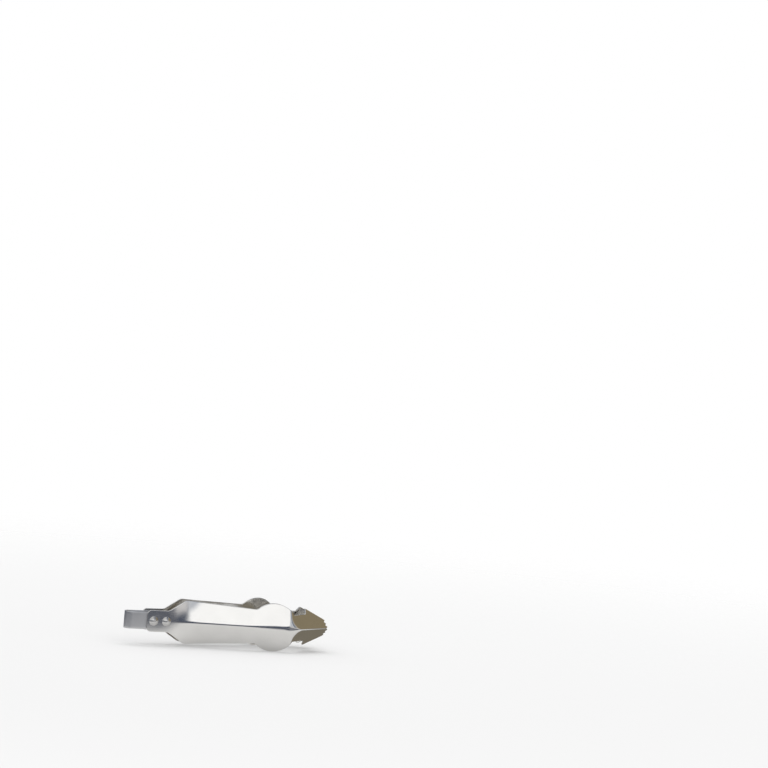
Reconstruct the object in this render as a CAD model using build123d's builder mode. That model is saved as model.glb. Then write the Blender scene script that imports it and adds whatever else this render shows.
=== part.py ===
"""An eye remover: a squeeze clip whose two beaks close into a toothed funnel.

Two pressed steel arms face each other across a bow of spring strip.  Each arm is one
stamping: a flat tail riveted to the bow, a handle with a ridge along its middle, a round
lobe that the grip stops against, a notched neck, and a beak folded steeply down from the
ridge, with saw teeth along its mouth.

Frame: the bow bends round the Z axis, the beaks point along +X, one arm lies on each side
of the plane Y = 0, and Z runs across the width of the arms.  Sizes are in millimetres.
Each arm is drawn in a frame of its own: x along the closed clip, y outward from the
middle plane, z across.  The two frames are swung apart round the Z axis.
"""

import os
from math import asin, atan, cos, radians, sin, sqrt, tan

from build123d import *

# Arm: sheet, and lengths along the arm
arm_sheet = 0.8
tail_start = 7.0
tail_length = 10.5
taper_length = 8.0
taper_to_lobe = 41.7
lobe_to_wing = 17.8
wing_sweep = 0.6
beak_length = 9.8
nose_rake = 1.2

# Arm: half widths, seen from the side
tail_half_width = 5.0
handle_rear_half_width = 10.1
handle_front_half_width = 7.5
lobe_radius = 11.3
neck_half_width = 6.2
wing_half_width = 8.7
mouth_half_width = 4.2

# Arm: forming
flat_length = 12.5
runout_length = 13.0
handle_angle = 10.6
lobe_depth = 12.2
ridge_angle = 15.0
fold_angle = 47.0
crown_radius = 12.0
ridge_land = 0.7
crown_steps = 5
crown_steps_before_fold = 2

# Arm: corner radii of the blank
tail_corner_radius = 2.0
taper_corner_radius = 3.0
lobe_blend_radius = 2.8
notch_corner_radius = 0.6

# Teeth along the mouth of each beak
teeth_per_wing = 3
tooth_depth = 0.95

# Spring bow
spring_sheet = 0.7
spring_width = 8.0
bow_bore_radius = 2.3
leg_corner_radius = 1.5
leg_end_margin = 1.5

# Rivets that hold the tails to the bow
rivet_radius = 1.2
rivet_head_radius = 2.2
rivet_dome_height = 0.9
rivet_flat_radius = 2.0
rivet_flat_height = 0.55
rivet_rear_edge = 3.2
rivet_pitch = 6.2
rivet_clearance = 0.05

# Opening and closing
mouth_gap = 5.4
closing_clearance = 0.05
overrun = 10.0

# Places along the arm
taper_start_x = tail_start + tail_length
handle_start_x = taper_start_x + taper_length
lobe_x = handle_start_x + taper_to_lobe
wing_x = lobe_x + lobe_to_wing
wing_tip_x = wing_x + wing_sweep
mouth_x = wing_x + beak_length
flat_end_x = tail_start + flat_length
runout_end_x = flat_end_x + runout_length
rivet_places = [tail_start + rivet_rear_edge + i * rivet_pitch for i in range(2)]

# Outer face of the tail, which lies on the leg of the bow
leg_depth = bow_bore_radius + spring_sheet
tail_depth = leg_depth + arm_sheet
leg_end_x = rivet_places[-1] + rivet_flat_radius + leg_end_margin

# Ridge of the beak: it falls with the width of the wings, so that their edges stay level
fold_slope = tan(radians(fold_angle))
wing_taper = (wing_half_width - mouth_half_width) / (mouth_x - wing_tip_x)
beak_slope = fold_slope * wing_taper
wing_wall = arm_sheet * sqrt(1 + beak_slope**2 + fold_slope**2)
wing_ridge_depth = fold_slope * (wing_half_width - ridge_land) + wing_wall + closing_clearance / 2

# Crown: the arc between the rising ridge of the handle and the falling ridge of the beak
handle_slope = tan(radians(handle_angle))
corner_x = (wing_ridge_depth + beak_slope * wing_tip_x + handle_slope * lobe_x - lobe_depth) / (
    handle_slope + beak_slope
)
crown_turn = radians(handle_angle) + atan(beak_slope)
crown_tangent = crown_radius * tan(crown_turn / 2)
crown_start_x = corner_x - crown_tangent * cos(radians(handle_angle))
crown_end_x = corner_x + crown_tangent * cos(atan(beak_slope))
crown_start_depth = lobe_depth + handle_slope * (crown_start_x - lobe_x)
crown_centre_x = crown_start_x + crown_radius * sin(radians(handle_angle))
crown_centre_depth = crown_start_depth - crown_radius * cos(radians(handle_angle))
crown_step = (crown_end_x - crown_start_x) / crown_steps
fold_start_x = crown_start_x + crown_steps_before_fold * crown_step


def ridge_depth(x):
    """Distance of the ridge's outer face from the middle plane of the closed clip."""
    if x <= flat_end_x:
        return tail_depth
    if x < runout_end_x:
        share = (x - flat_end_x) / runout_length
        return tail_depth + share * (ridge_depth(runout_end_x) - tail_depth)
    if x <= crown_start_x:
        return lobe_depth + handle_slope * (x - lobe_x)
    if x < crown_end_x:
        return crown_centre_depth + sqrt(crown_radius**2 - (x - crown_centre_x) ** 2)
    return wing_ridge_depth - beak_slope * (x - wing_tip_x)


def ridge_slope(x):
    """Slope of the ridge along the arm."""
    if x <= flat_end_x:
        return 0
    if x < runout_end_x:
        return (ridge_depth(runout_end_x) - tail_depth) / runout_length
    if x <= crown_start_x:
        return handle_slope
    if x < crown_end_x:
        return -(x - crown_centre_x) / (ridge_depth(x) - crown_centre_depth)
    return -beak_slope


def side_slope(x):
    """Slope of the sheet on each side of the ridge: flat, then ridged, then folded."""
    if x <= flat_end_x:
        return 0
    if x < runout_end_x:
        return tan(radians(ridge_angle)) * (x - flat_end_x) / runout_length
    if x <= fold_start_x:
        return tan(radians(ridge_angle))
    share = min((x - fold_start_x) / (crown_end_x - fold_start_x), 1)
    return tan(radians(ridge_angle + share * (fold_angle - ridge_angle)))


def arm_strips(x):
    """The pressed sheet across the arm at x, wider than the blank: two sides and the ridge."""
    span = lobe_radius + lobe_blend_radius
    side, along = side_slope(x), ridge_slope(x)
    ridge_wall = arm_sheet * sqrt(1 + along**2)
    side_wall = arm_sheet * sqrt(1 + along**2 + side**2)
    inner_land = ridge_land - side * arm_sheet**2 / (ridge_wall + side_wall)
    outer = ridge_depth(x)
    inner = outer - ridge_wall
    edge = outer - side * (span - ridge_land)
    upper = [(outer, ridge_land), (edge, span), (edge - side_wall, span), (inner, inner_land)]
    lower = [(depth, -across) for depth, across in upper]
    return {"upper": upper, "lower": lower, "ridge": [upper[0], upper[3], lower[3], lower[0]]}


def blank_half_outline():
    """Half of the blank's outline, from the middle of the tail to the middle of the mouth."""
    tooth_width = mouth_half_width / teeth_per_wing
    points = [
        (tail_start, 0),
        (tail_start, tail_half_width),
        (taper_start_x, tail_half_width),
        (handle_start_x, handle_rear_half_width),
        (lobe_x, handle_front_half_width),
        (lobe_x, neck_half_width),
        (wing_x, neck_half_width),
        (wing_tip_x, wing_half_width),
        (mouth_x, mouth_half_width),
    ]
    for i in range(teeth_per_wing):
        root = mouth_half_width - (i + 1) * tooth_width
        tip = root + tooth_width / 2
        tip_share, root_share = 1 - tip / mouth_half_width, 1 - root / mouth_half_width
        points.append((mouth_x + tooth_depth + nose_rake * tip_share, tip))
        points.append((mouth_x + nose_rake * root_share, root))
    return points


def station(frame, x):
    """The plane across an arm's frame at x, with its own x outward."""
    return Plane(frame.from_local_coords((x, 0, 0)), x_dir=frame.y_dir, z_dir=frame.x_dir)


def ridge_point(frame, x):
    """The point of the ridge's outer face at x."""
    return frame.from_local_coords((x, ridge_depth(x), 0))


def side_view(frame):
    """The plane that looks square at an arm's outer face, with its own y across the arm."""
    return Plane(frame.origin, x_dir=frame.x_dir, z_dir=-frame.y_dir)


def bow_line(depth):
    """One face of the bow's strip: out along one leg, round the bend and back along the other."""
    far_end, far_bend = (far_frame.from_local_coords((x, depth, 0)) for x in (leg_end_x, 0))
    near_end, near_bend = (near_frame.from_local_coords((x, depth, 0)) for x in (leg_end_x, 0))
    Line(far_end, far_bend)
    ThreePointArc(far_bend, (-depth, 0), near_bend)
    Line(near_bend, near_end)
    return far_end, near_end


# The two frames are turned apart by half the opening each
half_opening = asin(mouth_gap / 2 / mouth_x)
far_frame = Plane((0, 0, 0), x_dir=(cos(half_opening), sin(half_opening), 0), z_dir=(0, 0, 1))
near_frame = Plane((0, 0, 0), x_dir=(cos(half_opening), -sin(half_opening), 0), z_dir=(0, 0, -1))
frames = {"near": near_frame, "far": far_frame}

# Straight stretches are extruded along the ridge, and the stretches between them are lofted
straights = [
    (tail_start - overrun, flat_end_x),
    (runout_end_x, crown_start_x),
    (crown_end_x, mouth_x + overrun),
]
bends = [
    [flat_end_x, runout_end_x],
    [crown_start_x + i * crown_step for i in range(crown_steps + 1)],
]

os.makedirs("parts", exist_ok=True)

# Arms: the pressed sheet, trimmed to the blank's outline and drilled for the rivets
for side, frame in frames.items():
    with BuildPart() as arm:
        for strip in ("upper", "ridge", "lower"):
            for start, end in straights:
                with BuildSketch(station(frame, start)):
                    with BuildLine():
                        Polyline(*arm_strips(start)[strip], close=True)
                    make_face()
                stretch = ridge_point(frame, end) - ridge_point(frame, start)
                extrude(amount=stretch.length, dir=stretch)
            for places in bends:
                for x in places:
                    with BuildSketch(station(frame, x)):
                        with BuildLine():
                            Polyline(*arm_strips(x)[strip], close=True)
                        make_face()
                loft(ruled=True)
        with BuildSketch(side_view(frame)) as blank:
            with BuildLine():
                Polyline(*blank_half_outline())
                mirror(about=Plane.XZ)
            make_face()
            with Locations((lobe_x, 0)):
                Circle(lobe_radius)
            # Columns of corners from the tail to the wings, rounded from the wings back
            column_radii = [
                tail_corner_radius,
                taper_corner_radius,
                taper_corner_radius,
                lobe_blend_radius,
                notch_corner_radius,
                notch_corner_radius,
            ]
            for column in reversed(range(len(column_radii))):
                corners = blank.vertices().group_by(Axis.X)[column].sort_by(Axis.Y)
                middle = len(corners) // 2
                fillet(corners[middle - 1 : middle + 1], radius=column_radii[column])
        extrude(amount=2 * lobe_depth, both=True, mode=Mode.INTERSECT)
        with BuildSketch(side_view(frame)):
            with Locations(*[(x, 0) for x in rivet_places]):
                Circle(rivet_radius + rivet_clearance)
        extrude(amount=-tail_depth - overrun, mode=Mode.SUBTRACT)
    arm.part.label = side + "_arm"
    export_step(arm.part, "parts/" + side + "_arm.step")

# Spring bow: a strip bent round the Z axis, with a leg along each arm's tail
with BuildPart() as spring_bow:
    with BuildSketch():
        with BuildLine():
            inner_ends = bow_line(bow_bore_radius)
            outer_ends = bow_line(leg_depth)
            for inner_end, outer_end in zip(inner_ends, outer_ends):
                Line(inner_end, outer_end)
        make_face()
    extrude(amount=spring_width / 2, both=True)
    leg_corners = spring_bow.edges().group_by(SortBy.LENGTH)[0]
    fillet(leg_corners, radius=leg_corner_radius)
    for frame in frames.values():
        with BuildSketch(side_view(frame)):
            with Locations(*[(x, 0) for x in rivet_places]):
                Circle(rivet_radius + rivet_clearance)
        extrude(amount=-leg_depth - overrun, mode=Mode.SUBTRACT)
spring_bow.part.label = "spring_bow"
export_step(spring_bow.part, "parts/spring_bow.step")

# Rivets: a flat head inside the bow, a shank through both sheets and a domed head outside
for side, frame in frames.items():
    for place, x in zip(("rear", "front"), rivet_places):
        axis_plane = Plane(frame.from_local_coords((x, 0, 0)), x_dir=frame.x_dir, z_dir=frame.z_dir)
        dome_radius = (rivet_head_radius**2 + rivet_dome_height**2) / (2 * rivet_dome_height)
        with BuildPart() as rivet:
            with BuildSketch(axis_plane):
                with BuildLine():
                    Polyline(
                        (0, tail_depth + rivet_dome_height),
                        (0, bow_bore_radius - rivet_flat_height),
                        (rivet_flat_radius, bow_bore_radius - rivet_flat_height),
                        (rivet_flat_radius, bow_bore_radius),
                        (rivet_radius, bow_bore_radius),
                        (rivet_radius, tail_depth),
                        (rivet_head_radius, tail_depth),
                    )
                    RadiusArc(
                        (rivet_head_radius, tail_depth), (0, tail_depth + rivet_dome_height), -dome_radius
                    )
                make_face()
            revolve(axis=Axis(axis_plane.origin, axis_plane.y_dir))
        rivet.part.label = side + "_" + place + "_rivet"
        export_step(rivet.part, "parts/" + rivet.part.label + ".step")
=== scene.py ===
# %% [markdown]
# # A pressed steel eye remover
# The real tool is two stamped arms of thin stainless sheet, held apart by a bow of spring
# strip and four rivets.  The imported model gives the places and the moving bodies, and this
# lesson dresses them: each piece is modelled again with the softness of a real pressing,
# and gets a metal finish of its own.

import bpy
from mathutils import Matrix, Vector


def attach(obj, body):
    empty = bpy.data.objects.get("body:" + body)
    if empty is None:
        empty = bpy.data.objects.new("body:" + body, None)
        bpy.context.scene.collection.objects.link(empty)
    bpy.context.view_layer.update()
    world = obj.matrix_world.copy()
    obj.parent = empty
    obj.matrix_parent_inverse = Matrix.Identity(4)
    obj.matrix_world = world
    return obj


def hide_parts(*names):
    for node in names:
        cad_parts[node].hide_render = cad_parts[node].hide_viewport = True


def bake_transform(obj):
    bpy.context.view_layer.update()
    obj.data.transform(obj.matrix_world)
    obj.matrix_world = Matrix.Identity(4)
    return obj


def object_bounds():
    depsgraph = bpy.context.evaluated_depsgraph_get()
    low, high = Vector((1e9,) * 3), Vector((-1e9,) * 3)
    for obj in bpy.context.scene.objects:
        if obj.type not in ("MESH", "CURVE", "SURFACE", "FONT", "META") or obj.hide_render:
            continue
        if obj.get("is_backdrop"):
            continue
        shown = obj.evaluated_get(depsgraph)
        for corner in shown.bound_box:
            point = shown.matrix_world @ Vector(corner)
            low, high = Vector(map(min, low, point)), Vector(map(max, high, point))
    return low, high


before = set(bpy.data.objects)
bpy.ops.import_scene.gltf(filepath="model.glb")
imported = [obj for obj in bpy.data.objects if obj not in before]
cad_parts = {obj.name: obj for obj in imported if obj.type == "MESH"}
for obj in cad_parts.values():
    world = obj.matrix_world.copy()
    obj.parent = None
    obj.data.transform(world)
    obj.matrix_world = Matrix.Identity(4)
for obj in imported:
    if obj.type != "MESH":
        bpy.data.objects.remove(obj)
cad_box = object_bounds()
print("nodes", sorted(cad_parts))

# %% Tools for the lesson
from math import asin, atan, ceil, cos, pi, radians, sin, sqrt, tan

import bmesh
import bpy
from mathutils import Matrix, Vector

mm = 0.001
print("one millimetre is", mm, "of Blender's metres")

# %% [markdown]
# ## The camera
# The photograph was taken from the near side, a little above the tool, with the tips turned
# towards the lens and dipping slightly.  A long lens keeps the two arms nearly parallel.
# The camera is built from three directions, then turned so that the lobe of the near arm
# falls on the same place of the picture as in the photograph, with no lens shift.

# %% Place the camera
azimuth, elevation, roll = radians(-22), radians(6.3), radians(-4.84)
camera_distance = 1.3
picture_width, pixels_per_metre = 768, 2100
sensor_width = 36
lobe_place, lobe_pixel = Vector((68 * mm, 0, 0)), (266.55, 624.35)

level_right = Vector((cos(azimuth), sin(azimuth), 0))
towards_camera = Vector(
    (sin(azimuth) * cos(elevation), -cos(azimuth) * cos(elevation), sin(elevation))
)
level_up = towards_camera.cross(level_right)
camera_right = level_right * cos(roll) - level_up * sin(roll)
camera_up = level_right * sin(roll) + level_up * cos(roll)

focal_pixels = pixels_per_metre * camera_distance
off_centre = Vector(
    (lobe_pixel[0] - picture_width / 2, picture_width / 2 - lobe_pixel[1], -focal_pixels)
)
turn_to_lobe = off_centre.rotation_difference(Vector((0, 0, -1))).to_matrix()
facing_lobe = Matrix((camera_right, camera_up, towards_camera)).transposed()

bpy.ops.object.select_all(action="DESELECT")
bpy.ops.object.camera_add()
camera = bpy.context.object
camera.name = "studio_camera"
camera.matrix_world = Matrix.Translation(lobe_place + towards_camera * camera_distance) @ (
    facing_lobe @ turn_to_lobe
).to_4x4()
camera.data.sensor_width = sensor_width
camera.data.lens = sensor_width * focal_pixels / picture_width
bpy.context.scene.camera = camera
print("lens", round(camera.data.lens, 1), "mm")

# %% [markdown]
# ## Helpers for modelling
# An operator acts on what is selected, so every step selects faces, edges or points by
# their place first.  These helpers keep those few lines in one place.

# %% Start a piece and pick its parts
def start(name):
    """Names the primitive that was just added and opens it for editing."""
    piece = bpy.context.object
    piece.name = piece.data.name = name
    bpy.ops.object.transform_apply(location=True, rotation=True, scale=True)
    bpy.ops.object.mode_set(mode="EDIT")
    return piece


def pick(piece, kind, test):
    """Selects the points, edges or faces whose every point passes the test."""
    bpy.ops.mesh.select_mode(type=kind)
    bpy.ops.mesh.select_all(action="DESELECT")
    shape = bmesh.from_edit_mesh(piece.data)
    if kind == "VERT":
        chosen = [point for point in shape.verts if test(point.co)]
    else:
        passed = {point: test(point.co) for point in shape.verts}
        group = shape.edges if kind == "EDGE" else shape.faces
        chosen = [item for item in group if all(passed[point] for point in item.verts)]
    for item in chosen:
        item.select_set(True)
    bmesh.update_edit_mesh(piece.data)
    return len(chosen)


def near(a, b):
    """True where two places are the same to a thousandth of a millimetre."""
    return abs(a - b) < 0.001 * mm


# %% Finish a piece and copy it
def apply_modifier(piece, kind, **settings):
    """Adds a modifier with these settings and applies it."""
    modifier = piece.modifiers.new(kind.lower(), kind)
    for name, value in settings.items():
        setattr(modifier, name, value)
    bpy.ops.object.select_all(action="DESELECT")
    piece.select_set(True)
    bpy.context.view_layer.objects.active = piece
    bpy.ops.object.modifier_apply(modifier=modifier.name)


def turn(piece, angle, axis):
    """Turns a finished mesh round one axis of the frame."""
    bpy.ops.object.select_all(action="DESELECT")
    piece.select_set(True)
    bpy.context.view_layer.objects.active = piece
    piece.rotation_euler["XYZ".index(axis)] = angle
    bpy.ops.object.transform_apply(location=True, rotation=True, scale=True)


def copy_piece(piece, name):
    """A copy with a mesh of its own."""
    bpy.ops.object.select_all(action="DESELECT")
    piece.select_set(True)
    bpy.context.view_layer.objects.active = piece
    bpy.ops.object.duplicate(linked=False)
    twin = bpy.context.object
    twin.name = twin.data.name = name
    return twin


def report(piece):
    """Prints a piece's size in millimetres and how many faces it has."""
    places = [point.co for point in piece.data.vertices]
    low = [min(place[i] for place in places) / mm for i in range(3)]
    high = [max(place[i] for place in places) / mm for i in range(3)]
    sizes = " x ".join(f"{b - a:.2f}" for a, b in zip(low, high))
    print(piece.name, sizes, "mm,", len(piece.data.polygons), "faces, from",
          [round(value, 2) for value in low])


print("helpers ready")

# %% [markdown]
# ## Arms, first step: the outline of the blank
# An arm starts as a flat blank, cut from sheet: a tail, a taper to the handle, a round lobe,
# a neck and the two wings of the beak.  Its half outline is listed as points, with each
# corner rounded by an arc.  The lobe is a circle that runs into the handle and the neck
# over small hollow arcs.

# %% Sizes of the blank
arm_sheet = 0.8 * mm
tail_start, tail_end, handle_start = 7 * mm, 17.5 * mm, 25.5 * mm
lobe_x, wing_x, wing_tip_x, mouth_x = 67.2 * mm, 85 * mm, 85.6 * mm, 94.8 * mm
tail_half_width, handle_rear_half_width, handle_front_half_width = 5 * mm, 10.1 * mm, 7.5 * mm
lobe_radius, lobe_blend_radius = 11.3 * mm, 2.8 * mm
neck_half_width, wing_half_width, mouth_half_width = 6.2 * mm, 8.7 * mm, 4.2 * mm
tail_corner_radius, taper_corner_radius, notch_radius = 2 * mm, 3 * mm, 0.6 * mm
teeth_per_wing, tooth_depth, nose_rake = 3, 0.95 * mm, 1.2 * mm
arc_pitch = 0.4 * mm


def arc_points(centre, radius, first, last):
    """Points along an arc between two directions, in radians."""
    count = max(2, ceil(abs(last - first) * radius / arc_pitch))
    angles = [first + (last - first) * i / count for i in range(count + 1)]
    return [centre + Vector((cos(a), sin(a))) * radius for a in angles]


def corner_arc(before, corner, after, radius):
    """The arc that rounds a corner of the outline."""
    inward, outward = (before - corner).normalized(), (after - corner).normalized()
    half_angle = inward.angle(outward) / 2
    middle = (inward + outward).normalized() * (radius / sin(half_angle))
    centre = corner + middle
    reach = radius / tan(half_angle)
    spokes = [corner + side * reach - centre for side in (inward, outward)]
    first = Vector((1, 0)).angle_signed(spokes[0])
    swing = spokes[0].angle_signed(spokes[1])
    return arc_points(centre, radius, -first, -first - swing)


print("an arc gets a point every", arc_pitch / mm, "mm")

# %% Join lines, corner arcs and the lobe
lobe = Vector((lobe_x, 0))
tail_corner = Vector((tail_start, tail_half_width))
taper_corner = Vector((tail_end, tail_half_width))
handle_corner = Vector((handle_start, handle_rear_half_width))
handle_end = Vector((lobe_x, handle_front_half_width))

# The hollow arc behind the lobe touches the handle's edge and the circle
handle_way = (handle_end - handle_corner).normalized()
handle_out = Vector((-handle_way.y, handle_way.x))
blend_reach = lobe_radius + lobe_blend_radius
to_lobe = lobe - handle_corner - handle_out * lobe_blend_radius
along = to_lobe.dot(handle_way)
rear_run = along - sqrt(blend_reach**2 - (to_lobe - handle_way * along).length_squared)
rear_blend = handle_corner + handle_way * rear_run + handle_out * lobe_blend_radius

# The one in front of it touches the circle and the neck's edge
front_height, notch_reach = neck_half_width + notch_radius, lobe_radius + notch_radius
front_blend = lobe + Vector((sqrt(notch_reach**2 - front_height**2), front_height))

rear_way, front_way = (rear_blend - lobe), (front_blend - lobe)
rear_angle = pi - asin(rear_way.y / blend_reach)
front_angle = asin(front_way.y / notch_reach)
handle_lean = atan(-handle_way.y / handle_way.x)

half_outline = corner_arc(Vector((tail_start, 0)), tail_corner, taper_corner, tail_corner_radius)
half_outline += corner_arc(tail_corner, taper_corner, handle_corner, taper_corner_radius)
half_outline += corner_arc(taper_corner, handle_corner, handle_end, taper_corner_radius)
half_outline += arc_points(rear_blend, lobe_blend_radius, -pi / 2 - handle_lean, rear_angle - pi)
half_outline += arc_points(lobe, lobe_radius, rear_angle, front_angle)
half_outline += arc_points(front_blend, notch_radius, front_angle + pi, 1.5 * pi)
notch_centre = Vector((wing_x - notch_radius, neck_half_width + notch_radius))
half_outline += arc_points(notch_centre, notch_radius, -pi / 2, 0)
print(len(half_outline), "points from the tail to the wings")

# %% [markdown]
# ## Arms, second step: the flat blank
# The sheet will be pressed, so it needs enough points to bend.  A grid is laid out with one
# column of points for every point of the outline, and each column is moved to its place and
# scaled to the width there, as one would do by hand.  Rows lie closer near the middle, for
# the curve of the ridge, and at the teeth, where a few more lie just behind each tip and
# root.  The grid has spare rows outside, which only the wings keep.

# %% Where the columns and rows go
notch_share = (neck_half_width + notch_radius) / wing_half_width
longest_step, crown_step, shortest_step = 1.0 * mm, 0.4 * mm, 0.02 * mm
crown_from = lobe_x + 3 * mm
column_places, column_widths = [], []
for here, there in zip(half_outline, half_outline[1:] + half_outline[-1:]):
    if column_places and here.x - column_places[-1] < shortest_step:
        continue
    column_places.append(here.x)
    column_widths.append(here.y / notch_share)
    step = crown_step if there.x > crown_from else longest_step
    fills = ceil((there.x - here.x) / step - 0.01) - 1
    for i in range(fills):
        place = here.lerp(there, (i + 1) / (fills + 1))
        column_places.append(place.x)
        column_widths.append(place.y / notch_share)
column_places[-1], column_widths[-1] = wing_x, wing_half_width
wing_column = len(column_places) - 1

beak_columns = 22
for i in range(1, beak_columns + 1):
    share = i / beak_columns
    column_places.append(wing_x + share * (mouth_x - wing_x))
    column_widths.append(wing_half_width + share * (mouth_half_width - wing_half_width))

tooth_marks = [i / (2 * teeth_per_wing) for i in range(2 * teeth_per_wing + 1)]
after_marks = [i / 24 for i in range(4)]
ridge_row_shares = {0.0125, 0.025, 0.0375, 0.05, 0.065, 0.08, 0.1, 0.12, 0.145}
wing_row_shares = {notch_share, 0.8, 0.92, 0.96}
tooth_row_shares = {round(mark + after, 4) for mark in tooth_marks[1:-1] for after in after_marks}
row_shares = sorted({0.0, 1.0} | ridge_row_shares | wing_row_shares | tooth_row_shares)
row_shares = [-share for share in reversed(row_shares) if share > 0] + row_shares
print(len(column_places), "columns and", len(row_shares), "rows of points")

# %% Lay out the grid
bpy.ops.object.select_all(action="DESELECT")
bpy.ops.mesh.primitive_grid_add(
    x_subdivisions=len(column_places) - 1,
    y_subdivisions=len(row_shares) - 1,
    size=2,
    location=(-2, 0, 0),
    rotation=(pi / 2, 0, 0),
)
near_arm = start("near_arm_pressing")


def grid_place(index, count):
    """Where a row or column of the new grid starts, from -1 to 1."""
    return -1 + 2 * index / (count - 1)


for j, share in enumerate(row_shares):
    row = grid_place(j, len(row_shares))
    pick(near_arm, "VERT", lambda place: abs(place.z - row) < 0.001 and place.y > -0.5)
    bpy.ops.transform.translate(value=(0, -1, share - row))
bpy.ops.mesh.select_all(action="SELECT")
bpy.ops.transform.translate(value=(0, 1, 0))

spare_end = grid_place(wing_column, len(column_places)) - 2 + 0.001
for side in (1, -1):
    spare = pick(
        near_arm,
        "FACE",
        lambda place: place.x < spare_end and side * place.z > notch_share - 0.0001,
    )
    bpy.ops.mesh.delete(type="FACE")
    print("spare faces cut off:", spare)

# %% Draw each column to the outline
for i, (place_x, width) in enumerate(zip(column_places, column_widths)):
    column = grid_place(i, len(column_places)) - 2
    pick(near_arm, "VERT", lambda place: abs(place.x - column) < 0.001)
    bpy.ops.transform.translate(value=(place_x - column, 0, 0))
    bpy.ops.transform.resize(value=(1, 1, width), center_override=(place_x, 0, 0))
print("blank ready")

# %% [markdown]
# The rear edge of each wing leans forward towards its tip.  The mouth is cut in saw teeth,
# and it leans forward a little towards the middle.  Both are drawn out row by row from the
# even grid, the wings over all the beak's columns and the teeth over the last few.

# %% Lean the wings and draw out the teeth
tooth_columns = 5
drawn = 0
for i in range(beak_columns + 1):
    place_x, width = column_places[-1 - i], column_widths[-1 - i]
    for share in [share for share in row_shares if share >= 0]:
        saw = 1 - abs(share * 2 * teeth_per_wing % 2 - 1)
        pull = (nose_rake * (1 - share) + tooth_depth * saw) * max(0, 1 - i / tooth_columns)
        lean = max(0, share - notch_share) / (1 - notch_share) * i / beak_columns
        pull += lean * (wing_tip_x - wing_x)
        if pull == 0:
            continue
        drawn += pick(
            near_arm,
            "VERT",
            lambda place: near(place.x, place_x) and near(abs(place.z), share * width),
        )
        bpy.ops.transform.translate(value=(pull, 0, 0))
print("points drawn forward:", drawn)

# %% Round the wings' corners
wing_corner_round = 0.3 * mm
pick(
    near_arm,
    "VERT",
    lambda place: near(place.x, wing_tip_x) and near(abs(place.z), wing_half_width),
)
bpy.ops.mesh.bevel(affect="VERTICES", offset=wing_corner_round, segments=3)
bpy.ops.object.mode_set(mode="OBJECT")
report(near_arm)

# %% [markdown]
# ## Arms, third step: the press
# In the factory a die presses the blank: the handle gets a ridge along its middle, and the
# front is folded down steeply into a beak.  The fold is generous at the ridge and sharp at
# the neck's edges, which no single bevel gives, so the die is a grid whose points are set
# along lines of their own: each line runs up the handle, round its fold and down the beak.
# Across the ridge the two sides meet in a small curve, which widens towards the fold, so the
# lines lie closest there.

# %% Sizes of the die
tail_depth, lobe_depth = 3.8 * mm, 12.2 * mm
flat_end, runout_end, beak_start = 19.5 * mm, 32.5 * mm, 83.6 * mm
handle_slope = tan(radians(10.6))
ridge_side_slope, beak_side_slope = tan(radians(15)), tan(radians(47))
beak_fall = beak_side_slope * (wing_half_width - mouth_half_width) / (mouth_x - wing_tip_x)
ridge_land, closing_clearance = 0.7 * mm, 0.05 * mm
ridge_reaches = [(52 * mm, 0.8 * mm), (71 * mm, 2 * mm), (81 * mm, 1.2 * mm)]
beak_wall = arm_sheet * sqrt(1 + beak_fall**2 + beak_side_slope**2)
beak_depth = beak_side_slope * (wing_half_width - ridge_land) + beak_wall + closing_clearance / 2
fold_ridge_x, fold_edge_x = 77.6 * mm, 75.5 * mm
fold_reach_back, fold_reach_on, fold_edge_reach = 7 * mm, 3.9 * mm, 1.6 * mm
flat_reach, runout_reach, beak_reach = 5 * mm, 7 * mm, 2.4 * mm
runout_steps, handle_steps, fold_steps, panel_steps, beak_steps = 24, 16, 24, 6, 12


def ridge_reach(x):
    """How far the curve of the ridge reaches to each side: it swells at the fold."""
    (handle_end, handle_reach), (fold, fold_reach), (beak, beak_reach) = ridge_reaches
    swell = min(max((x - handle_end) / (fold - handle_end), 0), 1)
    shrink = min(max((x - fold) / (beak - fold), 0), 1)
    smooth = swell**2 * (3 - 2 * swell)
    return handle_reach + (fold_reach - handle_reach) * smooth + (beak_reach - fold_reach) * shrink


def off_ridge(x, z):
    """The distance off the ridge, eased close to it so that the sides meet in a curve."""
    reach = ridge_reach(x)
    return z if z > reach else (z * z / reach + reach) / 2


def handle_face(x, z):
    """Depth of the handle's faces, carried on in all directions."""
    rise = lobe_depth + handle_slope * (x - lobe_x)
    return rise - ridge_side_slope * (off_ridge(x, z) - ridge_land)


def beak_face(x, z):
    """Depth of the beak's faces, carried on in all directions."""
    fall = beak_fall * (x - wing_tip_x)
    return beak_depth - fall - beak_side_slope * (off_ridge(x, z) - ridge_land)


def rounded_bend(before, bend, after, reach_back, reach_on, steps):
    """Points round a bend of a line: the curve starts and ends at these distances from it."""
    first = bend + (before - bend).normalized() * reach_back
    last = bend + (after - bend).normalized() * reach_on
    shares = [i / steps for i in range(steps + 1)]
    return [first.lerp(bend, share).lerp(bend.lerp(last, share), share) for share in shares]


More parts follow.
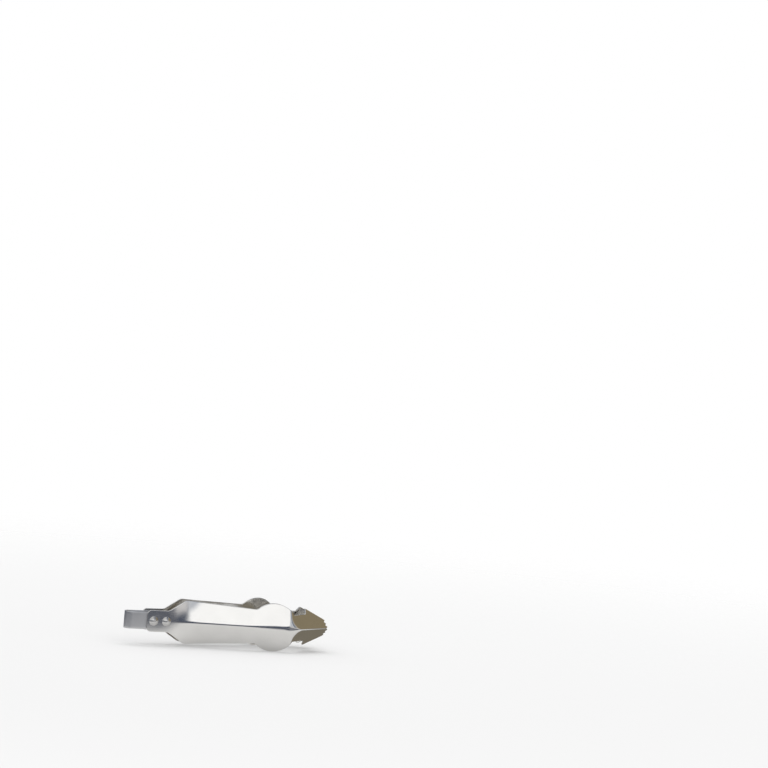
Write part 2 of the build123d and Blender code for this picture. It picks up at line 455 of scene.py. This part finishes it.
def die_line(z):
    """One line of the die: the places (x, depth) of its points at a distance z off the ridge."""
    inward = max(0, 1 - z / neck_half_width)
    fold_x = fold_edge_x + (fold_ridge_x - fold_edge_x) * inward**2
    reach_back = fold_edge_reach + (fold_reach_back - fold_edge_reach) * inward**2.5
    reach_on = fold_edge_reach + (fold_reach_on - fold_edge_reach) * inward**1.5
    first, last = Vector((die_start, tail_depth)), Vector((die_end, beak_face(die_end, z)))
    flat = Vector((flat_end, tail_depth))
    runout = Vector((runout_end, handle_face(runout_end, z)))
    fold = Vector((fold_x, handle_face(fold_x, z)))
    beak = Vector((beak_start, beak_face(beak_start, z)))
    behind = Vector((fold_x - reach_back, handle_face(fold_x - reach_back, z)))
    round_runout = rounded_bend(flat, runout, behind, runout_reach, runout_reach, runout_steps)
    round_fold = rounded_bend(behind, fold, beak, reach_back, reach_on, fold_steps)
    round_beak = rounded_bend(fold, beak, last, beak_reach, beak_reach, beak_steps)
    handle_run = round_fold[0].x - round_runout[-1].x
    handle = [round_runout[-1].x + handle_run * i / handle_steps for i in range(1, handle_steps)]
    panel = [round_fold[-1].lerp(round_beak[0], i / panel_steps) for i in range(1, panel_steps)]
    return (
        [first]
        + rounded_bend(first, flat, runout, flat_reach, flat_reach, runout_steps)
        + round_runout
        + [Vector((x, handle_face(x, z))) for x in handle]
        + round_fold
        + panel
        + round_beak
        + [last]
    )


die_start, die_end, die_half_width = 2 * mm, 112 * mm, 15 * mm
die_rows = [0.1 * mm * i for i in range(15)] + [(1.5 + 0.25 * i) * mm for i in range(20)]
die_rows += [(6.5 + 0.5 * i) * mm for i in range(8)] + [die_half_width]
print("each line of the die has", len(die_line(0)), "points")

# %% Lay out the die
die_lines = [die_line(row) for row in die_rows]
bpy.ops.object.select_all(action="DESELECT")
bpy.ops.mesh.primitive_grid_add(
    x_subdivisions=len(die_lines[0]) - 1,
    y_subdivisions=2 * len(die_rows) - 2,
    size=2,
    rotation=(pi / 2, 0, 0),
)
die = start("press_die")
for point in bmesh.from_edit_mesh(die.data).verts:
    i = round((point.co.x + 1) / 2 * (len(die_lines[0]) - 1))
    j = round(point.co.z * (len(die_rows) - 1))
    line = die_lines[abs(j)]
    side = 1 if j > 0 else -1
    point.co = (line[i].x, -line[i].y, side * die_rows[abs(j)])
bmesh.update_edit_mesh(die.data)
print("die laid out in", 2 * len(die_rows) - 1, "lines")

# %% Give the die its thickness
bpy.ops.object.mode_set(mode="OBJECT")
if sum(face.normal.y for face in die.data.polygons) > 0:
    die.data.flip_normals()
apply_modifier(die, "SOLIDIFY", thickness=arm_sheet, offset=-1, use_even_offset=True)
report(die)

# %% [markdown]
# A Shrinkwrap modifier projects the blank onto the die, as a press does in one stroke.  The
# die is now a sheet with two faces, and the blank is first made thick like a block, one
# side before the die and one behind it, so that each of its faces lands on its own face of
# the die.  Its edges stay square to the blank, as a trimming tool cuts them.  A small bevel
# breaks them, and they get a metal of their own.

# %% Press the blank
block_thickness, broken_edge = 80 * mm, 0.11 * mm
bpy.ops.object.select_all(action="DESELECT")
near_arm.select_set(True)
bpy.context.view_layer.objects.active = near_arm
bpy.ops.object.mode_set(mode="EDIT")
bpy.ops.mesh.select_all(action="SELECT")
bpy.ops.mesh.extrude_region_move(TRANSFORM_OT_translate={"value": (0, block_thickness, 0)})
bpy.ops.mesh.select_all(action="SELECT")
bpy.ops.transform.translate(value=(0, -block_thickness / 2, 0))
bpy.ops.mesh.normals_make_consistent(inside=False)
bpy.ops.object.mode_set(mode="OBJECT")
for face in near_arm.data.polygons:
    face.material_index = 1 if abs(face.normal.y) < 0.5 else 0
apply_modifier(
    near_arm,
    "SHRINKWRAP",
    target=die,
    wrap_method="PROJECT",
    use_project_y=True,
    use_positive_direction=True,
    use_negative_direction=True,
)
bpy.data.objects.remove(die)
report(near_arm)
apply_modifier(
    near_arm, "BEVEL", limit_method="ANGLE", angle_limit=radians(50), width=broken_edge, segments=2
)
bpy.ops.object.shade_smooth_by_angle(angle=radians(40))
report(near_arm)

# %% [markdown]
# The far arm is the same stamping, turned over.  Both arms are swung a little out of the
# middle plane, because the bow holds the beak open.

# %% Open the clip and copy the arm
mouth_gap = 5.4 * mm
half_opening = asin(mouth_gap / 2 / mouth_x)
turn(near_arm, -half_opening, "Z")
far_arm = copy_piece(near_arm, "far_arm_pressing")
turn(far_arm, pi, "X")
report(near_arm)
report(far_arm)

# %% [markdown]
# ## The spring bow
# The bow is one strip of spring steel, bent round in a U, with a leg riveted under the tail
# of each arm.  Half of it is modelled, a leg and half the bend, and a Mirror modifier makes
# the other half.  The bend is a spin of the leg's end edge, as a strip is bent round a pin.

# %% Lay out a leg and spin the bend
spring_sheet, spring_half_width, bow_bore_radius = 0.7 * mm, 4 * mm, 2.3 * mm
leg_end, leg_corner_radius, leg_step = 19.9 * mm, 1.5 * mm, 4 * mm
leg_depth = bow_bore_radius + spring_sheet
touching = 0.01 * mm
leg_columns = [leg_step * i for i in range(5)]
leg_columns += [leg_end - leg_corner_radius * (1 - sin(radians(15 * i))) for i in range(7)]
bpy.ops.object.select_all(action="DESELECT")
bpy.ops.mesh.primitive_grid_add(
    x_subdivisions=len(leg_columns) - 1,
    y_subdivisions=8,
    size=2,
    location=(-2, -leg_depth, 0),
    rotation=(pi / 2, 0, 0),
)
bow = start("spring_bow_strip")
for i, place_x in enumerate(leg_columns):
    column = grid_place(i, len(leg_columns)) - 2
    over = max(0, place_x - (leg_end - leg_corner_radius))
    width = spring_half_width - leg_corner_radius + sqrt(max(0, leg_corner_radius**2 - over**2))
    pick(bow, "VERT", lambda place: abs(place.x - column) < 0.001)
    bpy.ops.transform.translate(value=(place_x - column, 0, 0))
    bpy.ops.transform.resize(value=(1, 1, width), center_override=(place_x, 0, 0))
bpy.ops.object.mode_set(mode="OBJECT")
turn(bow, -half_opening, "Z")
bpy.ops.object.mode_set(mode="EDIT")
strip_way = Vector((cos(half_opening), -sin(half_opening), 0))
pick(bow, "EDGE", lambda place: abs(place.dot(strip_way)) < touching)
bpy.ops.mesh.spin(steps=14, angle=pi / 2 - half_opening, center=(0, 0, 0), axis=(0, 0, 1))
bpy.ops.object.mode_set(mode="OBJECT")
report(bow)

# %% Mirror it and give it its thickness
strip_edge = 0.12 * mm
apply_modifier(
    bow, "MIRROR", use_axis=(False, True, False), use_mirror_merge=True, merge_threshold=touching
)
bpy.ops.object.mode_set(mode="EDIT")
bpy.ops.mesh.select_all(action="SELECT")
bpy.ops.mesh.remove_doubles(threshold=touching / 2)
bpy.ops.mesh.normals_make_consistent(inside=False)
bpy.ops.object.mode_set(mode="OBJECT")
outward = sum(face.normal.dot(face.center) for face in bow.data.polygons if face.center.x < 0)
if outward < 0:
    bow.data.flip_normals()
apply_modifier(
    bow, "SOLIDIFY", thickness=spring_sheet, offset=-1, use_even_offset=True, material_offset_rim=1
)
apply_modifier(
    bow, "BEVEL", limit_method="ANGLE", angle_limit=radians(50), width=strip_edge, segments=2
)
bpy.ops.object.shade_smooth_by_angle(angle=radians(40))
report(bow)

# %% [markdown]
# ## The rivets
# Each rivet has a domed head outside the arm and a flat, upset head inside the bow.  One
# is drawn as a half profile and spun round its own axis, then copied to the other three
# places.  The rims are slightly rounded, as a hammered head is.

# %% Draw the profile and spin it
rivet_places = [10.2 * mm, 16.4 * mm]
head_radius, dome_height, shank_radius = 2.2 * mm, 0.9 * mm, 1.2 * mm
flat_radius, flat_height, flat_round, flat_ease = 2 * mm, 0.55 * mm, 0.2 * mm, 0.06 * mm
rim_ease, dome_steps = 0.03 * mm, 8
dome_radius = (head_radius**2 + dome_height**2) / (2 * dome_height)
dome_half_angle = asin(head_radius / dome_radius)
dome_centre = tail_depth + dome_height - dome_radius
flat_depth = bow_bore_radius - flat_height

profile = [
    (0, flat_depth),
    (flat_radius - flat_round, flat_depth),
    (flat_radius - flat_ease, flat_depth + flat_ease),
    (flat_radius, flat_depth + flat_round),
    (flat_radius, bow_bore_radius),
    (shank_radius, bow_bore_radius),
    (shank_radius, tail_depth),
    (head_radius, tail_depth),
]
for i in range(dome_steps + 1):
    angle = dome_half_angle * (1 - i / dome_steps)
    ease = rim_ease if i == 0 else 0
    profile.append((dome_radius * sin(angle) - ease, dome_centre + dome_radius * cos(angle) + ease))

bpy.ops.object.select_all(action="DESELECT")
bpy.ops.mesh.primitive_plane_add(size=2 * mm)
rivet = start("near_rear_rivet_head")
pick(rivet, "VERT", lambda place: place.x > 0 or place.y > 0)
bpy.ops.mesh.delete(type="VERT")
bpy.ops.mesh.select_all(action="SELECT")
left_point = bmesh.from_edit_mesh(rivet.data).verts[:][0].co.copy()
axis_x = rivet_places[0]
bpy.ops.transform.translate(
    value=(axis_x + profile[0][0] - left_point.x, -profile[0][1] - left_point.y, -left_point.z)
)
for (out_from, depth_from), (out_to, depth_to) in zip(profile, profile[1:]):
    way = (out_to - out_from, depth_from - depth_to, 0)
    bpy.ops.mesh.extrude_region_move(TRANSFORM_OT_translate={"value": way})
bpy.ops.mesh.select_all(action="SELECT")
bpy.ops.mesh.spin(steps=40, angle=2 * pi, center=(axis_x, 0, 0), axis=(0, 1, 0))
bpy.ops.mesh.select_all(action="SELECT")
bpy.ops.mesh.remove_doubles(threshold=touching / 2)
bpy.ops.mesh.normals_make_consistent(inside=False)
bpy.ops.object.mode_set(mode="OBJECT")
bpy.ops.object.shade_smooth_by_angle(angle=radians(35))
report(rivet)

# %% Copy it to its four places
near_front_rivet = copy_piece(rivet, "near_front_rivet_head")
near_front_rivet.location.x = rivet_places[1] - rivet_places[0]
rivets = {"near_rear_rivet": rivet, "near_front_rivet": near_front_rivet}
for name, head in list(rivets.items()):
    turn(head, 0, "X")
    turn(head, -half_opening, "Z")
    far_head = copy_piece(head, name.replace("near", "far") + "_head")
    turn(far_head, pi, "X")
    rivets[name.replace("near", "far")] = far_head
for name, head in rivets.items():
    report(head)

# %% [markdown]
# ## Finishes
# Each metal is a node material with its own colour, gloss and small marks.  Nothing in it
# looks at the camera: the marks follow the object's own coordinates, and all gloss comes
# from the shader.  A helper adds a node and links it in one go, and keeps the trees short.

# %% A helper for node trees
def add_node(tree, kind, inputs, **settings):
    """Adds a node.  Each input named gets a value, or a link from another node's output."""
    node = tree.nodes.new("ShaderNode" + kind)
    for name, value in settings.items():
        setattr(node, name, value)
    for name, value in inputs.items():
        if isinstance(value, bpy.types.NodeSocket):
            tree.links.new(value, node.inputs[name])
        else:
            node.inputs[name].default_value = value
    return node


print("nodes can be added")

# %% A helper for metals
cloud_scale, wave_scale = 130, 90


def metal(name, colours, roughness, grain, grain_scale, grain_height, waviness):
    """A steel: two close tones, gloss that varies, fine marks along a grain, and soft waves."""
    material = bpy.data.materials.new(name)
    material.use_nodes = True
    tree = material.node_tree
    shader = tree.nodes["Principled BSDF"]
    shader.inputs["Metallic"].default_value = 1
    place = add_node(tree, "TexCoord", {}).outputs["Object"]

    clouds = add_node(tree, "TexNoise", {"Vector": place, "Scale": cloud_scale, "Detail": 4})
    tones = {"Factor": clouds.outputs["Fac"], "A": (*colours[0], 1), "B": (*colours[1], 1)}
    tone = add_node(tree, "Mix", tones, data_type="RGBA")
    tree.links.new(tone.outputs["Result"], shader.inputs["Base Color"])

    stretch = add_node(tree, "Mapping", {"Vector": place, "Scale": grain})
    marks = {"Vector": stretch.outputs["Vector"], "Scale": grain_scale, "Detail": 3}
    scratches = add_node(tree, "TexNoise", marks)
    half = add_node(tree, "Math", {0: clouds.outputs["Fac"], 1: 0.5}, operation="MULTIPLY")
    blend = {0: scratches.outputs["Fac"], 1: 0.5, 2: half.outputs["Value"]}
    both = add_node(tree, "Math", blend, operation="MULTIPLY_ADD")
    range_in = {"Value": both.outputs["Value"], "From Min": 0.3, "From Max": 0.7}
    range_out = {"To Min": roughness[0], "To Max": roughness[1]}
    gloss = add_node(tree, "MapRange", {**range_in, **range_out})
    tree.links.new(gloss.outputs["Result"], shader.inputs["Roughness"])

    waves = add_node(tree, "TexNoise", {"Vector": place, "Scale": wave_scale, "Detail": 1})
    wave_bump = add_node(tree, "Bump", {"Distance": waviness, "Height": waves.outputs["Fac"]})
    grain_bump = add_node(
        tree,
        "Bump",
        {
            "Distance": grain_height,
            "Height": scratches.outputs["Fac"],
            "Normal": wave_bump.outputs["Normal"],
        },
    )
    tree.links.new(grain_bump.outputs["Normal"], shader.inputs["Normal"])
    return material


print("metals are mixed from noise, with no pictures")

# %% Mix the metals
polished = metal(
    "polished_stainless", [(0.81, 0.795, 0.77), (0.72, 0.71, 0.685)], (0.06, 0.16),
    (0.025, 1, 1), 3200, 0.0026 * mm, 0.05 * mm,
)
cut_edge = metal(
    "sheared_edge", [(0.84, 0.83, 0.81), (0.66, 0.65, 0.63)], (0.22, 0.42),
    (1, 0.1, 1), 5200, 0.006 * mm, 0.01 * mm,
)
spring = metal(
    "spring_strip", [(0.64, 0.64, 0.64), (0.54, 0.54, 0.55)], (0.28, 0.38),
    (0.03, 1, 1), 3600, 0.0022 * mm, 0.02 * mm,
)
hammered = metal(
    "rivet_steel", [(0.70, 0.69, 0.67), (0.56, 0.55, 0.54)], (0.16, 0.32),
    (1, 1, 1), 1400, 0.006 * mm, 0.03 * mm,
)
for arm in (near_arm, far_arm):
    arm.data.materials.append(polished)
    arm.data.materials.append(cut_edge)
bow.data.materials.append(spring)
bow.data.materials.append(cut_edge)
for head in rivets.values():
    head.data.materials.append(hammered)
print("metals", [material.name for material in (polished, cut_edge, spring, hammered)])

# %% [markdown]
# ## Riding on the moving bodies
# The near arm and its rivets belong to one body, the far arm and its rivets to the other.
# The bow joins them; it rides on neither, and its place is baked into its mesh.

# %% Attach the arms and rivets
pieces = {"near_arm": near_arm, "far_arm": far_arm, **rivets}
for node, piece in pieces.items():
    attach(piece, "near_side" if node.startswith("near") else "far_side")
    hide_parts(node)
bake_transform(bow)
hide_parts("spring_bow")

# %% [markdown]
# ## The floor
# A plain pale floor lies under the lobes and catches the shadow.  It thins out to nothing
# at its rim, so no edge shows against the white behind it.  Reflections in the steel see the
# lit floor only in a pool near the tool; past it they see a painted dark glow, and right
# below the beak a painted warm shade.

# %% Add the floor
floor_radius, fade_start, fade_end = 0.8, 0.15, 0.76
bpy.ops.object.select_all(action="DESELECT")
bpy.ops.mesh.primitive_circle_add(
    vertices=96, radius=floor_radius, fill_type="NGON", location=(50 * mm, 0, cad_box[0][2])
)
floor = bpy.context.object
floor.name = "pale_floor"
paper = bpy.data.materials.new("pale_paper")
paper.use_nodes = True
tree = paper.node_tree
paper_shader = tree.nodes["Principled BSDF"]
paper_shader.inputs["Base Color"].default_value = (0.9, 0.9, 0.9, 1)
paper_shader.inputs["Roughness"].default_value = 0.9
paper_shader.inputs["Specular IOR Level"].default_value = 0
floor.data.materials.append(paper)
floor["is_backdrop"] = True
print("floor at", round(cad_box[0][2] / mm, 2), "mm")

# %% A helper for smooth steps
def smooth_step(tree, value, start, end, low=0):
    """Rises smoothly from low to 1 while the value goes from start to end."""
    span = {"Value": value, "From Min": start, "From Max": end, "To Min": low}
    return add_node(tree, "MapRange", span, interpolation_type="SMOOTHSTEP").outputs["Result"]


print("smooth steps can be added")

# %% Paint a dark glow and a warm shade into the floor's reflection, and thin out its rim
pool_end, pool_fade_end, pool_dimming = 40 * mm, 100 * mm, 0.12
shade_start, shade_full = 28 * mm, 34 * mm
shade_half_width, shade_fade = 14 * mm, 4 * mm
place = add_node(tree, "TexCoord", {}).outputs["Object"]

# The pool: the steel sees the lit floor near the tool, and a painted dark glow past it
squeeze = add_node(tree, "Mapping", {"Vector": place, "Scale": (0.6, 1, 1)})
off_pool = add_node(tree, "VectorMath", {0: squeeze.outputs["Vector"]}, operation="LENGTH")
past_pool = smooth_step(tree, off_pool.outputs["Value"], pool_end, pool_fade_end, pool_dimming)

split = add_node(tree, "SeparateXYZ", {0: place})
# Where the painted warm shade lies: below the beak, in a strip along the middle
off_side = add_node(tree, "Math", {0: split.outputs["Y"]}, operation="ABSOLUTE")
below_beak = smooth_step(tree, split.outputs["X"], shade_start, shade_full)
beside = smooth_step(
    tree, off_side.outputs["Value"], shade_half_width + shade_fade, shade_half_width
)
painted_shade_mask = add_node(tree, "Math", {0: below_beak, 1: beside}, operation="MULTIPLY").outputs["Value"]
both = add_node(tree, "Math", {0: past_pool, 1: painted_shade_mask}, operation="MAXIMUM").outputs["Value"]
ray = add_node(tree, "LightPath", {})
in_gloss = add_node(
    tree, "Math", {0: both, 1: ray.outputs["Is Glossy Ray"]}, operation="MULTIPLY"
)
# Painted shade seen only in the steel: a cool dark glow past the pool, a warm dark glow below the
# beak
painted_shade_colours = add_node(
    tree,
    "Mix",
    {"Factor": painted_shade_mask, "A": (0.10, 0.11, 0.14, 1), "B": (0.21, 0.19, 0.15, 1)},
    data_type="RGBA",
)
painted_shade_glow = add_node(tree, "Emission", {"Color": painted_shade_colours.outputs["Result"]})
seen_floor = add_node(
    tree,
    "MixShader",
    {0: in_gloss.outputs["Value"], 1: paper_shader.outputs[0], 2: painted_shade_glow.outputs[0]},
)

from_middle = add_node(tree, "VectorMath", {0: place}, operation="LENGTH")
rim = smooth_step(tree, from_middle.outputs["Value"], fade_start, fade_end)
clear = add_node(tree, "BsdfTransparent", {})
thinned = add_node(tree, "MixShader", {0: rim, 1: seen_floor.outputs[0], 2: clear.outputs[0]})
tree.links.new(thinned.outputs[0], tree.nodes["Material Output"].inputs["Surface"])
print("floor shaded")

# %% [markdown]
# ## Light
# Polished steel shows the room, so the room is designed.  Two soft boxes light the floor and
# the round forms.  The pale upper wall turns the upper faces white, a dark band along the
# horizon draws the ridge and the edges, and the wall ahead has a blue shade between two
# pale strips, which draws the fold.  The camera itself sees a plain white background.

# %% Hang the soft boxes
tool_middle = Vector((50 * mm, 0, 0))


def soft_box(name, direction, distance, size, radiance):
    """A rectangular lamp that looks at the tool, of a given brightness to the eye."""
    direction = Vector(direction).normalized()
    bpy.ops.object.select_all(action="DESELECT")
    bpy.ops.object.light_add(type="AREA", location=direction * distance + tool_middle)
    lamp = bpy.context.object
    lamp.name = name
    lamp.rotation_euler = direction.to_track_quat("Z", "Y").to_euler()
    lamp.data.shape = "RECTANGLE"
    lamp.data.size, lamp.data.size_y = size
    lamp.data.energy = radiance * pi * size[0] * size[1]
    return lamp


key = soft_box("key_soft_box", (-0.05, -0.94, 0.36), 2.2, (2.4, 0.8), 0.45)
top = soft_box("top_soft_box", (0.1, 0.25, 1), 1.8, (1.6, 1.2), 1.2)
print("lamps", key.name, top.name)

# %% A helper for colour ramps
def colour_ramp(tree, value, stops):
    """A ramp with a colour at each of these places, from the first to the last."""
    ramp = add_node(tree, "ValToRGB", {"Fac": value})
    ends = ramp.color_ramp.elements
    for end, (position, colour) in ((ends[0], stops[0]), (ends[1], stops[-1])):
        end.position, end.color = position, (*colour, 1)
    for position, colour in stops[1:-1]:
        ends.new(position).color = (*colour, 1)
    return ramp.outputs["Color"]


print("ramps can be added")

# %% Paint the room
world = bpy.data.worlds.new("studio_room")
bpy.context.scene.world = world
world.use_nodes = True
tree = world.node_tree
tree.nodes.clear()
where = add_node(tree, "TexCoord", {}).outputs["Generated"]
split = add_node(tree, "SeparateXYZ", {0: where})
upwards, forwards = [
    add_node(
        tree, "MapRange", {"Value": split.outputs[axis], "From Min": -1, "From Max": 1}
    ).outputs["Result"]
    for axis in ("Z", "X")
]

band_colour = (0.085, 0.10, 0.14)
# All round, from below to above: the floor's far part, a dark band and a pale wall
room = colour_ramp(
    tree,
    upwards,
    [
        (0.0, (0.55, 0.55, 0.56)),
        (0.36, (0.42, 0.43, 0.45)),
        (0.42, band_colour),
        (0.55, band_colour),
        (0.60, (0.76, 0.77, 0.79)),
        (0.72, (0.76, 0.77, 0.78)),
        (0.80, (0.60, 0.61, 0.62)),
        (1.0, (0.85, 0.85, 0.85)),
    ],
)
# Ahead, level with the tool: the dark band ends at a pale wall, then warm dusk
front_level = colour_ramp(
    tree,
    forwards,
    [
        (0.56, band_colour),
        (0.61, (0.70, 0.69, 0.70)),
        (0.86, (0.74, 0.735, 0.73)),
        (0.92, (0.34, 0.30, 0.24)),
    ],
)
# Ahead and above: a pale wall, a blue shade, a thin pale strip, and the same dusk
front_above = colour_ramp(
    tree,
    forwards,
    [
        (0.56, (0.76, 0.77, 0.79)),
        (0.61, (0.12, 0.15, 0.21)),
        (0.78, (0.22, 0.25, 0.31)),
        (0.81, (0.62, 0.58, 0.52)),
        (0.845, (0.27, 0.225, 0.145)),
    ],
)
is_above = smooth_step(tree, split.outputs["Z"], 0.10, 0.22)
is_ahead = smooth_step(tree, split.outputs["X"], 0.06, 0.12)
front = add_node(
    tree, "Mix", {"Factor": is_above, "A": front_level, "B": front_above}, data_type="RGBA"
)
walls = add_node(
    tree, "Mix", {"Factor": is_ahead, "A": room, "B": front.outputs["Result"]}, data_type="RGBA"
)
print("room painted")

# %% Show it to the steel alone
ray = add_node(tree, "LightPath", {})
seen_room = add_node(tree, "Background", {"Color": walls.outputs["Result"]})
fill = add_node(tree, "Background", {"Color": (0.84, 0.84, 0.84, 1)})
white = add_node(tree, "Background", {"Color": (1, 1, 1, 1)})
by_gloss = add_node(
    tree,
    "MixShader",
    {0: ray.outputs["Is Glossy Ray"], 1: fill.outputs[0], 2: seen_room.outputs[0]},
)
by_camera = add_node(
    tree,
    "MixShader",
    {0: ray.outputs["Is Camera Ray"], 1: by_gloss.outputs[0], 2: white.outputs[0]},
)
add_node(tree, "OutputWorld", {"Surface": by_camera.outputs[0]})
bpy.context.scene.view_settings.view_transform = "Standard"
print("world", world.name)

# %% [markdown]
# ## Sizes at the end
# The dressed tool must keep the size of the imported model, so both boxes are written down
# side by side.

# %% Print both sizes and finish
dressed_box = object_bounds()
for name, corners in (("CAD", cad_box), ("dressed", dressed_box)):
    print(name, [[round(v / mm, 2) for v in corner] for corner in corners])
